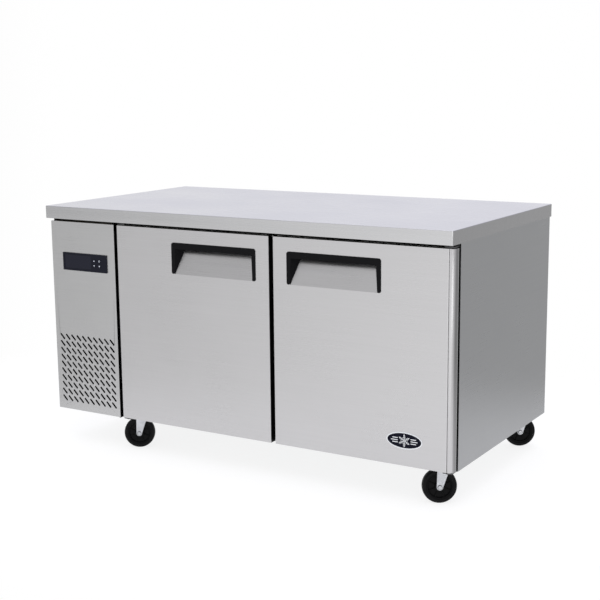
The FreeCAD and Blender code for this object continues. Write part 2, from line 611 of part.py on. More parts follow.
# ---------------------------------------------------------------- hinges
def hinge_brackets():
    """Steel brackets over and under the hinge side of each door, on the face of the front frame."""
    shapes = []
    for x in (LEFT_HINGE_X, RIGHT_HINGE_X):
        width, reach = (x - 14, x + 14), (FACE_Y + 3, CABINET_Y)
        hole = rod(PIN_R + 0.02, (x, HINGE_Y, 90), (x, HINGE_Y, HEIGHT))
        top = block(width, reach, TOP_BRACKET_Z)
        top = top.fuse(block(width, (CABINET_Y - 2, CABINET_Y), (TOP_BRACKET_Z[0], 749)))
        low = block(width, reach, LOW_BRACKET_Z)
        low = low.fuse(block(width, (CABINET_Y - 2, CABINET_Y), (LOW_BRACKET_Z[0], 130)))
        shapes += [top.cut(hole).removeSplitter(), low.cut(hole).removeSplitter()]
    return shapes


def hinge_pins():
    """Pins that the doors turn on, one down through each top bracket and one up from each lower one."""
    pins = []
    low, top = LOW_BRACKET_Z[0], TOP_BRACKET_Z[1]
    for x in (LEFT_HINGE_X, RIGHT_HINGE_X):
        for bracket, tip, head in ((top, 716, top + 2.5), (low, 130, low - 1.6)):
            shank = rod(PIN_R, (x, HINGE_Y, bracket), (x, HINGE_Y, tip))
            pins.append(shank.fuse(rod(7.0, (x, HINGE_Y, bracket), (x, HINGE_Y, head))).removeSplitter())
    return pins


# ---------------------------------------------------------------- doors
class Door:
    """Places on one door. side is +1 where the door runs to the right of its hinge, else -1."""

    def __init__(self, span, side, corner_radius, beaded):
        self.side = side
        self.hinge_edge = span[0] if side > 0 else span[1]
        self.free_edge = span[1] if side > 0 else span[0]
        self.hinge_x = self.hinge_edge + side * HINGE_IN
        self.corner_radius = corner_radius
        self.beaded = beaded
        self.opening = LEFT_OPENING if side > 0 else RIGHT_OPENING
        outer = self.free_edge - side * HANDLE_MARGIN
        self.handle = tuple(sorted((outer, outer - side * HANDLE_WIDTH)))

    def pan_block(self, inset, y_end, z):
        """The pan's outline, moved in by inset, between the face and y_end."""
        radius = self.corner_radius - inset
        x = (self.hinge_edge + self.side * inset, self.free_edge - self.side * inset)
        shape = block(x, (FACE_Y + inset, y_end), z)
        if radius <= 0.3:
            return shape
        corner = [
            e for e in shape.Edges
            if abs(e.tangentAt(e.FirstParameter).z) > 0.99
            and abs(e.Vertexes[0].X - x[0]) < 0.01 and abs(e.Vertexes[0].Y - FACE_Y - inset) < 0.01
        ]
        return shape.makeFillet(radius, corner)

    def bead(self, grow, z):
        """The pressed bead beside the hinge edge, a narrow channel sunk into the face."""
        x = self.hinge_edge + self.side * (self.corner_radius + 2.0)
        half = BEAD_HALF + grow
        return block((x - half, x + half), (FACE_Y - 1, FACE_Y + BEAD_DEPTH + grow), z)

    def bead_lip(self, z):
        """Cutter for the slope that leads into the bead from the face."""
        edge = self.hinge_edge + self.side * (self.corner_radius + 2.0 + BEAD_HALF)
        width, depth = BEAD_LIP
        far = edge + self.side * width
        outline = [(far, FACE_Y), (edge, FACE_Y + depth), (edge, FACE_Y - 1), (far, FACE_Y - 1)]
        return prism([(x, y, z[0]) for x, y in outline], (0, 0, z[1] - z[0]))

    def leg_width(self, z):
        """Width of the handle's side legs at a height."""
        share = (z - HANDLE_Z[0]) / (MOUTH_TOP_Z - HANDLE_Z[0])
        return RIM_LOW + (RIM_TOP - RIM_LOW) * share

    def pocket(self, grow, drop):
        """The finger space behind the handle, grown at its sides and with its sloping floor dropped."""
        rings = []
        for z in (HANDLE_Z[0] - 6, ROOF_Z + grow):
            front = self.leg_width(z) - grow - POCKET_TAPER * 4 / POCKET_DEPTH
            back = self.leg_width(z) - grow + POCKET_TAPER * (POCKET_DEPTH + grow) / POCKET_DEPTH
            y0, y1 = FACE_Y - 4, FACE_Y + POCKET_DEPTH + grow
            x0, x1 = self.handle
            rings.append([(x0 + front, y0, z), (x1 - front, y0, z), (x1 - back, y1, z), (x0 + back, y1, z)])
        space = frustum(*rings)
        slope = (SLOPE_TOP_Z - HANDLE_Z[0]) / POCKET_DEPTH
        near, far = FACE_Y - 60, FACE_Y + 90
        floor = HANDLE_Z[0] - drop
        below = prism(
            [(-BIG, near, floor + (near - FACE_Y) * slope), (-BIG, far, floor + (far - FACE_Y) * slope),
             (-BIG, far, -BIG), (-BIG, near, -BIG)], (2 * BIG, 0, 0))
        return space.cut(below)

    def mouth(self):
        """Opening in the door's face for the finger pocket."""
        top = MOUTH_TOP_Z + 1.5
        low, high = self.leg_width(HANDLE_Z[0]) - 1.5, self.leg_width(top) - 1.5
        x0, x1 = self.handle
        outline = [(x0 + low, HANDLE_Z[0]), (x1 - low, HANDLE_Z[0]), (x1 - high, top), (x0 + high, top)]
        return prism([(x, FACE_Y - 1, z) for x, z in outline], (0, 4, 0))

    def skin(self):
        """Stainless pan with the handle's sloping plate bent in from its face."""
        z = (DOOR_Z0, DOOR_Z1)
        beyond = (z[0] - 1, z[1] + 1)
        shell = self.pan_block(0, PAN_BACK_Y, z).cut(self.pan_block(SHEET, PAN_BACK_Y + 1, beyond))
        free_flange = block(
            (self.free_edge - self.side * 5, self.free_edge + self.side), (FACE_Y + 4, PAN_BACK_Y + 1), beyond
        )
        shell = shell.cut([free_flange, self.mouth()])
        if self.beaded:
            fold = self.bead(BEAD_WALL, z).common(block((-BIG, BIG), (FACE_Y, PAN_BACK_Y), z))
            shell = shell.fuse(fold).cut([self.bead(0, beyond), self.bead_lip(beyond)])
        plate = self.pocket(0, PLATE_DROP).cut(self.pocket(3, 0)).common(
            block((-BIG, BIG), (FACE_Y, FACE_Y + POCKET_DEPTH), (HANDLE_Z[0] - PLATE_DROP, SLOPE_TOP_Z)))
        return shell.fuse(plate).removeSplitter()

    def handle_bezel(self):
        """Black handle: a rim over the top and down both sides, with the finger pocket's walls."""
        space = self.pocket(0, 40)
        tip = RIM_LOW / 2
        rim_z = (HANDLE_Z[0] - 10, HANDLE_Z[1])
        rim = rounded_plate(self.handle, rim_z, (FACE_Y - RIM_PROUD, FACE_Y), 8.0)
        rim = rim.cut([
            space.common(block((-BIG, BIG), (FACE_Y - 5, FACE_Y + 5), (-BIG, MOUTH_TOP_Z))),
            block((-BIG, BIG), (FACE_Y - 5, FACE_Y + 5), (-BIG, HANDLE_Z[0] + tip)),
        ])
        tips = [rod(tip, (x, FACE_Y - RIM_PROUD, HANDLE_Z[0] + tip), (x, FACE_Y, HANDLE_Z[0] + tip))
                for x in (self.handle[0] + tip, self.handle[1] - tip)]
        near_z = (HANDLE_Z[0] - 10, HANDLE_Z[1] + 10)
        behind = block((-BIG, BIG), (FACE_Y, FACE_Y + 80), near_z)
        sheet = block((-BIG, BIG), (FACE_Y, FACE_Y + SHEET), near_z).cut(self.mouth())
        walls = self.pocket(2, PLATE_DROP).cut([space, sheet]).common(behind)
        edge = self.leg_width(MOUTH_TOP_Z) - 1.0
        lip = block((self.handle[0] + edge, self.handle[1] - edge), (FACE_Y, FACE_Y + SHEET + 1.5),
                    (MOUTH_TOP_Z, MOUTH_TOP_Z + 1.5))
        return rim.fuse(tips + [walls, lip]).removeSplitter()

    def plug(self, inset, y):
        """The raised part of the liner, which enters the cabinet's opening."""
        x = (self.opening[0] + 8 + inset, self.opening[1] - 8 - inset)
        return block(x, y, (OPENING_Z[0] + 8 + inset, OPENING_Z[1] - 8 - inset))

    def core(self):
        """Foam filling of the pan and the plug, with room for the handle, trim and hinge bushes."""
        z = (DOOR_Z0 + CAP, DOOR_Z1 - CAP)
        filling = self.pan_block(SHEET, PAN_BACK_Y, z)
        strip_x = (self.free_edge - self.side * 5, self.free_edge + self.side)
        strip = block(strip_x, (FACE_Y - 1, PAN_BACK_Y + 1), (DOOR_Z0, DOOR_Z1))
        plug = self.plug(1.5, (PAN_BACK_Y, PAN_BACK_Y + PLUG_DEPTH - 1.5))
        bushes = [rod(BUSH_R, (self.hinge_x, HINGE_Y, a), (self.hinge_x, HINGE_Y, b))
                  for a, b in ((DOOR_Z0, 136), (711, DOOR_Z1))]
        taken = [strip, self.pocket(2.2, PLATE_DROP + 0.2)] + bushes
        if self.beaded:
            taken.append(self.bead(BEAD_WALL, z))
        return filling.fuse(plug).cut(taken).removeSplitter()

    def liner(self):
        """Vacuum-formed inner skin: a flange over the pan and the raised plug."""
        x, y = (self.hinge_edge, self.free_edge), (PAN_BACK_Y, PAN_BACK_Y + 1.5)
        flange = block(x, y, (DOOR_Z0, DOOR_Z1))
        raised = self.plug(0, (PAN_BACK_Y, PAN_BACK_Y + PLUG_DEPTH))
        edges = [e for e in raised.Edges if abs(e.tangentAt(e.FirstParameter).y) > 0.99]
        raised = raised.makeFillet(6.0, edges)
        inside = self.plug(1.5, (PAN_BACK_Y - 1, PAN_BACK_Y + PLUG_DEPTH - 1.5))
        return flange.fuse(raised).cut(inside).removeSplitter()

    def gasket(self):
        """Four magnetic gasket strips, mitred at the corners."""
        y = (PAN_BACK_Y + 1.5, CABINET_Y - 0.3)
        x0, x1 = self.opening[0] - 15, self.opening[1] + 15
        z0, z1 = OPENING_Z[0] - 15, OPENING_Z[1] + 15
        w = 14.0
        corners = [(x0, z0), (x1, z0), (x1, z1), (x0, z1)]
        inner = [(x0 + w, z0 + w), (x1 - w, z0 + w), (x1 - w, z1 - w), (x0 + w, z1 - w)]
        strips = []
        for i in range(4):
            j = (i + 1) % 4
            outline = [corners[i], corners[j], inner[j], inner[i]]
            strips.append(prism([(x, y[0], z) for x, z in outline], (0, y[1] - y[0], 0)))
        return strips

    def trim(self):
        """Black end caps and the strip along the free edge."""
        caps = []
        for z in ((DOOR_Z0, DOOR_Z0 + CAP), (DOOR_Z1 - CAP, DOOR_Z1 - 0.4)):
            cap = self.pan_block(SHEET + 0.02, PAN_BACK_Y, z)
            hole = rod(BUSH_R, (self.hinge_x, HINGE_Y, z[0] - 1), (self.hinge_x, HINGE_Y, z[1] + 1))
            taken = [hole, self.bead(BEAD_WALL + 0.02, z)] if self.beaded else [hole]
            caps.append(cap.cut(taken))
        x = (self.free_edge - self.side * 5, self.free_edge - self.side * 0.4)
        z = (DOOR_Z0 + CAP, DOOR_Z1 - CAP)
        behind = block((x[0], self.free_edge - self.side * SHEET), (FACE_Y + SHEET, FACE_Y + 4.2), z)
        strip = block(x, (FACE_Y + 4.2, PAN_BACK_Y), z).fuse(behind)
        return caps + [strip.removeSplitter()]

    def hinge_bushes(self):
        """Bored bushes that run on the hinge pins; the lower one holds the closing spring."""
        x = self.hinge_x
        return [
            tube(BUSH_R - 0.05, PIN_R + RUNNING, (x, HINGE_Y, DOOR_Z0 + 0.2), (x, HINGE_Y, 135.8)),
            tube(BUSH_R - 0.05, PIN_R + RUNNING, (x, HINGE_Y, 711.2), (x, HINGE_Y, DOOR_Z1 - 0.6)),
        ]


def badge():
    """Plain oval plate low on the right door."""
    ellipse = Part.Ellipse(V(0, 0, 0), *BADGE_HALF)
    face = Part.Face(Part.Wire(ellipse.toShape()))
    plate = face.extrude(V(0, 0, 1.5))
    plate.rotate(V(0, 0, 0), X_AXIS, 90)
    plate.translate(V(BADGE_X, FACE_Y, BADGE_Z))
    return plate


# ---------------------------------------------------------------- casters
def turned(shape, place):
    """Turns a caster piece built about the origin and puts it under its kingpin."""
    shape = shape.copy()
    shape.rotate(V(0, 0, 0), Z_AXIS, CASTER_TURN)
    shape.translate(V(place[0], place[1], 0))
    return shape


def caster_fork():
    """Pressed fork: crown, lower race and two tapering legs; the wheel trails towards -X."""
    crown = block((-TRAIL - 15, 18), (-LEG_Y[1], LEG_Y[1]), CROWN_Z)
    race = rod(23.0, (0, 0, CROWN_Z[1]), (0, 0, RACE_Z - 0.3))
    outline = [(-TRAIL - TIP_R, WHEEL_R), (-TRAIL + TIP_R, WHEEL_R), (3, 86), (16, CROWN_Z[1]),
               (-TRAIL - 8, CROWN_Z[1])]
    legs = []
    for side in (-1, 1):
        y = side * LEG_Y[0]
        leg = prism([(x, y, z) for x, z in outline], (0, side * (LEG_Y[1] - LEG_Y[0]), 0))
        legs.append(leg.fuse(rod(TIP_R, (-TRAIL, y, WHEEL_R), (-TRAIL, side * LEG_Y[1], WHEEL_R))))
    fork = crown.fuse([race] + legs)
    kingpin_hole = rod(PIN_R + RUNNING, (0, 0, 90), (0, 0, 130))
    axle_hole = rod(AXLE_R + 0.05, (-TRAIL, -40, WHEEL_R), (-TRAIL, 40, WHEEL_R))
    return fork.cut([kingpin_hole, axle_hole]).removeSplitter()


def caster_axle():
    """Axle bolt with a round head and a nut."""
    end = LEG_Y[1] + 0.1
    shank = rod(AXLE_R, (-TRAIL, -end, WHEEL_R), (-TRAIL, end, WHEEL_R))
    head = rod(5.6, (-TRAIL, -end - 3.0, WHEEL_R), (-TRAIL, -end, WHEEL_R))
    corners = [math.radians(a) for a in range(0, 360, 60)]
    outline = [(-TRAIL + 6.8 * math.cos(a), end, WHEEL_R + 6.8 * math.sin(a)) for a in corners]
    return shank.fuse([head, prism(outline, (0, 4.0, 0))]).removeSplitter()


def caster_wheel():
    """Hard black wheel with rounded shoulders and a bored hub."""
    half = WHEEL_WIDTH / 2
    disc = Part.makeCylinder(WHEEL_R, WHEEL_WIDTH, V(-TRAIL, -half, WHEEL_R), Y_AXIS)
    disc = disc.makeFillet(5.0, [e for e in disc.Edges if isinstance(e.Curve, Part.Circle)])
    hub = rod(13.0, (-TRAIL, -half - 2, WHEEL_R), (-TRAIL, half + 2, WHEEL_R))
    bore = rod(AXLE_R + RUNNING, (-TRAIL, -40, WHEEL_R), (-TRAIL, 40, WHEEL_R))
    return disc.fuse(hub).cut(bore).removeSplitter()


def caster_plate(place):
    """Top plate with the upper race, fixed under the base plate."""
    x, y = place
    plate = block((x - 36, x + 36), (y - 29, y + 29), (BASE_Z - 3, BASE_Z))
    race = rod(25.0, (x, y, RACE_Z), (x, y, BASE_Z - 3))
    holes = [rod(PIN_R + 0.02, (x, y, 90), (x, y, 130))]
    for i, j in ((-1, -1), (-1, 1), (1, -1), (1, 1)):
        holes.append(rod(3.5, (x + i * 29, y + j * 22, 110), (x + i * 29, y + j * 22, 130)))
    return plate.fuse(race).cut(holes).removeSplitter()


def caster_kingpin(place):
    """Rivet that the fork swivels on."""
    x, y = place
    head = rod(8.0, (x, y, 101.2), (x, y, CROWN_Z[0] - 0.2))
    return rod(PIN_R, (x, y, CROWN_Z[0] - 0.2), (x, y, BASE_Z)).fuse(head).removeSplitter()


# ---------------------------------------------------------------- the assembly
def screws():
    """Screws of the control panel, and the screw heads of the rear panel and the rear grille."""
    solids = [panel_screw(cx) for cx in PANEL_SCREW_X]
    rear_x = (BODY_LEFT + 14, BULKHEAD_X - 14, BULKHEAD_X + 16, MULLION_X, BODY_RIGHT - 18)
    for cx in rear_x:
        for cz in (BODY_BOTTOM + 22, TOP_UNDER - 18):
            solids.append(Part.makeCone(4.0, 2.4, 2.0, V(cx, BODY_REAR, cz), Y_AXIS))
    return solids


def assembly():
    """Every node of the refrigerator, by name."""
    left = Door(LEFT_DOOR, 1, 2.0, False)
    right = Door(RIGHT_DOOR, -1, 14.0, True)
    coil_x, coil_z = (EVAP_X[0] + 24, EVAP_X[1] - 24), (EVAP_Z[0] + 16, EVAP_Z[1] - 14)
    evaporator_fan_y = (EVAP_Y[0] + 8, EVAP_Y[0] + 26)
    condenser_fan_y = (SHROUD_Y[0] + 5, SHROUD_Y[0] + 25)
    nodes = {
        "worktop": worktop(),
        "worktop_core": worktop_core(),
        "left_side_panel": side_panel(BODY_LEFT, BODY_LEFT + SHEET, FACE_Y + 14.2),
        "right_side_panel": side_panel(BODY_RIGHT, BODY_RIGHT - SHEET, CABINET_Y),
        "rear_panel": rear_panel(),
        "rear_grille": rear_grille(),
        "cable_gland": cable_gland(),
        "base_plate": base_plate(),
        "cabinet_insulation": cabinet_insulation(),
        "inner_liner": inner_liner(),
        "front_frame": front_frame(),
        "control_panel": control_panel(),
        "display_bezel": display_bezel(),
        "display_window": display_window(),
        "controller_box": controller_box(),
        "compressor": [compressor()] + compressor_mounts(),
        "condenser_coil": finned_coil((LEFT + 34, LEFT + 226), CONDENSER_Y, (BASE_TOP, 372), 7.0),
        "condenser_fan_shroud": condenser_fan_shroud(),
        "condenser_fan": fan_rotor(FAN_X, condenser_fan_y, FAN_Z, 90.0, 22.0, 4.0 + RUNNING, 5),
        "evaporator_coil": finned_coil(coil_x, (EVAP_Y[1] - 38, EVAP_Y[1]), coil_z, 8.0),
        "evaporator_cover": evaporator_cover(),
        "evaporator_fan_motor": evaporator_fan_motor(),
        "evaporator_fan": fan_rotor(
            EVAP_FAN_X, evaporator_fan_y, EVAP_FAN_Z, 60.0, 17.0, 3.0 + RUNNING, 5),
        "refrigerant_lines": refrigerant_lines(),
        "condensate_pan": condensate_pan(),
        "shelf_pilasters": shelf_pilasters(),
        "shelf_clips": shelf_clips(),
        "wire_shelves": [wire_shelf(x) for x in SHELF_SIDES],
        "hinge_brackets": hinge_brackets(),
        "hinge_pins": hinge_pins(),
        "panel_screws": screws(),
        "caster_plates": [caster_plate(place) for place in CASTERS.values()],
        "caster_kingpins": [caster_kingpin(place) for place in CASTERS.values()],
        "badge": badge(),
    }
    for name, place in BUTTONS.items():
        nodes[name] = button(*place)
    for name, door in (("left", left), ("right", right)):
        nodes[f"{name}_door_skin"] = door.skin()
        nodes[f"{name}_door_core"] = door.core()
        nodes[f"{name}_door_liner"] = door.liner()
        nodes[f"{name}_door_gasket"] = door.gasket()
        nodes[f"{name}_door_trim"] = door.trim()
        nodes[f"{name}_handle"] = door.handle_bezel()
        nodes[f"{name}_hinge_bushes"] = door.hinge_bushes()
    for name, place in CASTERS.items():
        nodes[f"{name}_caster_fork"] = [turned(caster_fork(), place), turned(caster_axle(), place)]
        nodes[f"{name}_caster_wheel"] = turned(caster_wheel(), place)
    return nodes


def main():
    os.makedirs("parts", exist_ok=True)
    for name, shape in assembly().items():
        solids = shape if isinstance(shape, list) else shape.Solids
        joined = Part.makeCompound(solids) if len(solids) > 1 else solids[0]
        print(f"{name}: {len(solids)} solid(s), {joined.Volume / 1000:.1f} cm3, valid {joined.isValid()}")
        joined.exportStep(f"parts/{name}.step")


main()
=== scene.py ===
"""Looks of the two-door undercounter refrigerator: detailed pieces, materials, studio and camera.

Everything is in metres in the part's own frame: +Z up, the doors face -Y, the floor is z = 0.
"""

import json
import math

import bmesh
import bpy
from mathutils import Matrix, Vector

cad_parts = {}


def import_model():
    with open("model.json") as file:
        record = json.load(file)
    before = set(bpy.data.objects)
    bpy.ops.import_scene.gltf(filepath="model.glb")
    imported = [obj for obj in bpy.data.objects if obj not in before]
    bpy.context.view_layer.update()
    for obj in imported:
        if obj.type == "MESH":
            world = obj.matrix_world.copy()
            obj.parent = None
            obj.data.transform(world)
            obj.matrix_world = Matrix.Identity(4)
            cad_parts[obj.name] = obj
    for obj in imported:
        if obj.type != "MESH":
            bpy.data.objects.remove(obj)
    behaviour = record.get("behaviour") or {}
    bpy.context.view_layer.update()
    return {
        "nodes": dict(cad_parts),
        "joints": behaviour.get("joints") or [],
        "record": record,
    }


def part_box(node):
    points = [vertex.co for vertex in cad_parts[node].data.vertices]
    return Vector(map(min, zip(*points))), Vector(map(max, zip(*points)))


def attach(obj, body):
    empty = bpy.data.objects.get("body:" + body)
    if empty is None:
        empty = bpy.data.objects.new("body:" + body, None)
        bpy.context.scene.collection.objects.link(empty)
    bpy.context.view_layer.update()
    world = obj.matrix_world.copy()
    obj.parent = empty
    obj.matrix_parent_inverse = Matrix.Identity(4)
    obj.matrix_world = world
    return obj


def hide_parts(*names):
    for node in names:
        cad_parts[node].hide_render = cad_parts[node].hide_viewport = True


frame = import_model()
NODES = frame["nodes"]
JOINTS = {j["name"]: j for j in frame["joints"]}


# ---------------------------------------------------------------- shader helpers
class Shader:
    """Builds one material around a Principled shader with short calls."""

    def __init__(self, name, color, rough, metallic=0.0, **numbers):
        self.mat = bpy.data.materials.new(name)
        self.mat.use_nodes = True
        self.tree = self.mat.node_tree
        self.bsdf = self.tree.nodes["Principled BSDF"]
        self.bsdf.inputs["Base Color"].default_value = (*color, 1.0)
        self.bsdf.inputs["Roughness"].default_value = rough
        self.bsdf.inputs["Metallic"].default_value = metallic
        for socket, value in numbers.items():
            self.bsdf.inputs[socket.replace("_", " ")].default_value = value

    def node(self, kind, **values):
        """A new node, with its inputs and settings given by name."""
        made = self.tree.nodes.new(kind)
        for key, value in values.items():
            if key in made.inputs:
                made.inputs[key].default_value = value
            else:
                setattr(made, key, value)
        return made

    def link(self, start, end):
        self.tree.links.new(start, end)

    def noise(self, scale, detail=3.0, spread=(1.0, 1.0, 1.0), rough=0.5):
        """Noise in object space; spread stretches it along each axis."""
        coords = self.node("ShaderNodeTexCoord")
        mapping = self.node("ShaderNodeMapping")
        mapping.inputs["Scale"].default_value = [scale * s for s in spread]
        self.link(coords.outputs["Object"], mapping.inputs["Vector"])
        noise = self.node("ShaderNodeTexNoise", Scale=1.0, Detail=detail, Roughness=rough)
        self.link(mapping.outputs["Vector"], noise.inputs["Vector"])
        return noise.outputs["Fac"]

    def ranged(self, value, low, high, start=0.3, end=0.7):
        """Maps a noise value onto a range."""
        node = self.node("ShaderNodeMapRange")
        for socket, number in zip(("From Min", "From Max", "To Min", "To Max"), (start, end, low, high)):
            node.inputs[socket].default_value = number
        self.link(value, node.inputs["Value"])
        return node.outputs["Result"]

    def add(self, a, b, kind="ADD"):
        """Two values, or a value and a number, added or multiplied."""
        node = self.node("ShaderNodeMath", operation=kind)
        self.link(a, node.inputs[0])
        if isinstance(b, (int, float)):
            node.inputs[1].default_value = b
        else:
            self.link(b, node.inputs[1])
        return node.outputs[0]

    def tint(self, value, dark, light):
        """Base colour that varies between two colours."""
        mix = self.node("ShaderNodeMix", data_type="RGBA")
        mix.inputs[6].default_value = (*dark, 1.0)
        mix.inputs[7].default_value = (*light, 1.0)
        self.link(value, mix.inputs[0])
        self.link(mix.outputs[2], self.bsdf.inputs["Base Color"])

    def paint_shade_on_ends(self, factor):
        """Painted shade: darkens faces that look along X, so the sides and end faces read as if they were
        in shade.
        """
        split = self.node("ShaderNodeSeparateXYZ")
        self.link(self.node("ShaderNodeTexCoord").outputs["Normal"], split.inputs[0])
        facing = self.node("ShaderNodeMath", operation="ABSOLUTE")
        self.link(split.outputs["X"], facing.inputs[0])
        base = self.bsdf.inputs["Base Color"]
        mix = self.node("ShaderNodeMix", data_type="RGBA", blend_type="MULTIPLY")
        mix.inputs[7].default_value = (factor, factor, factor, 1.0)
        self.link(base.links[0].from_socket, mix.inputs[6])
        self.link(self.ranged(facing.outputs[0], 0.0, 1.0, 0.75, 0.98), mix.inputs[0])
        self.link(mix.outputs[2], base)

    def rough(self, value):
        self.link(value, self.bsdf.inputs["Roughness"])

    def bump(self, value, strength, distance):
        bump = self.node("ShaderNodeBump", Strength=strength, Distance=distance)
        self.link(value, bump.inputs["Height"])
        last = self.bsdf.inputs["Normal"]
        if last.is_linked:
            self.link(last.links[0].from_socket, bump.inputs["Normal"])
        self.link(bump.outputs["Normal"], last)


def shade(color, factor):
    return tuple(min(1.0, c * factor) for c in color)


def along_grain(grain, along, across):
    """Noise scales that stretch the noise along the x or y axis."""
    return (along, across, across) if grain == "x" else (across, along, across)


def brushed(name, color, rough, grain="x", turn="Z", ends=1.0):
    """Brushed stainless sheet: fine grain along one axis, faint streaks and handling marks; ends paints
    shade on faces that look along X.
    """
    m = Shader(name, color, rough, metallic=1.0, Anisotropic=0.5)
    fine = m.noise(1.0, 3.0, along_grain(grain, 6.0, 1900.0))
    streaks = m.noise(1.0, 2.0, along_grain(grain, 2.5, 160.0))
    marks = m.noise(4.0, 5.0)
    mottle = m.add(m.add(fine, 0.45, "MULTIPLY"), m.add(streaks, 0.2, "MULTIPLY"))
    m.tint(m.ranged(m.add(mottle, m.add(marks, 0.35, "MULTIPLY")), 0.0, 1.0, 0.35, 0.65),
           shade(color, 0.965), shade(color, 1.035))
    # painted shade on the faces that look along X
    m.paint_shade_on_ends(ends)
    m.rough(m.add(m.ranged(fine, rough - 0.04, rough + 0.04), m.ranged(marks, -0.03, 0.04)))
    m.bump(fine, 0.10, 0.00006)
    m.bump(marks, 0.12, 0.00014)
    tangent = m.node("ShaderNodeTangent", direction_type="RADIAL", axis=turn)
    m.link(tangent.outputs["Tangent"], m.bsdf.inputs["Tangent"])
    return m.mat


def plastic(name, color, rough, grain=900.0, depth=0.00012, coat=0.0, shine=0.5):
    """Moulded plastic: fine spark-eroded texture with uneven sheen."""
    m = Shader(name, color, rough, Coat_Weight=coat, Coat_Roughness=0.08, Specular_IOR_Level=shine)
    fine = m.noise(grain, 3.0)
    soft = m.noise(9.0, 4.0)
    m.tint(m.ranged(soft, 0.0, 1.0), shade(color, 0.95), shade(color, 1.05))
    m.rough(m.add(m.ranged(fine, rough - 0.04, rough + 0.04), m.ranged(soft, -0.05, 0.07)))
    m.bump(fine, 0.35, depth)
    return m.mat


def zinc(name, color, rough, spangle=160.0, spread=(0.86, 1.08)):
    """Zinc plate and other dull bare metals: small cloudy crystals between a darker and a lighter shade."""
    m = Shader(name, color, rough, metallic=0.9)
    cells = m.node("ShaderNodeTexVoronoi", Scale=spangle)
    coords = m.node("ShaderNodeTexCoord")
    m.link(coords.outputs["Object"], cells.inputs["Vector"])
    cloud = m.noise(22.0, 5.0)
    m.tint(m.add(m.ranged(cells.outputs["Distance"], 0.2, 0.6, 0.0, 1.0), m.ranged(cloud, -0.2, 0.5)),
           shade(color, spread[0]), shade(color, spread[1]))
    m.rough(m.ranged(cloud, rough - 0.05, rough + 0.07))
    m.bump(cloud, 0.2, 0.0001)
    return m.mat


def rubber(name, color, rough, dust=(0.020, 0.020, 0.020)):
    """Hard or soft rubber with a fine pebble and a trace of dust."""
    m = Shader(name, color, rough, Specular_IOR_Level=0.1)
    pebble = m.noise(1400.0, 2.0)
    dirt = m.noise(30.0, 6.0, rough=0.7)
    m.tint(m.ranged(dirt, 0.0, 1.0, 0.45, 0.85), color, dust)
    m.rough(m.ranged(dirt, rough - 0.06, rough + 0.12))
    m.bump(pebble, 0.25, 0.00015)
    return m.mat


def foam():
    """Polyurethane foam: small closed cells."""
    m = Shader("foam", (0.80, 0.70, 0.42), 0.85)
    cells = m.node("ShaderNodeTexVoronoi", Scale=700.0)
    coords = m.node("ShaderNodeTexCoord")
    m.link(coords.outputs["Object"], cells.inputs["Vector"])
    m.tint(m.ranged(m.noise(12.0), 0.0, 1.0), (0.72, 0.60, 0.33), (0.88, 0.80, 0.54))
    m.bump(cells.outputs["Distance"], 0.6, 0.0006)
    return m.mat


def board():
    """Raw particle board."""
    m = Shader("core_board", (0.14, 0.10, 0.065), 0.85, Specular_IOR_Level=0.1)
    chips = m.noise(260.0, 5.0, (1.0, 1.0, 2.5), 0.7)
    m.tint(m.ranged(chips, 0.0, 1.0), (0.09, 0.062, 0.036), (0.19, 0.145, 0.095))
    m.bump(chips, 0.5, 0.0005)
    return m.mat


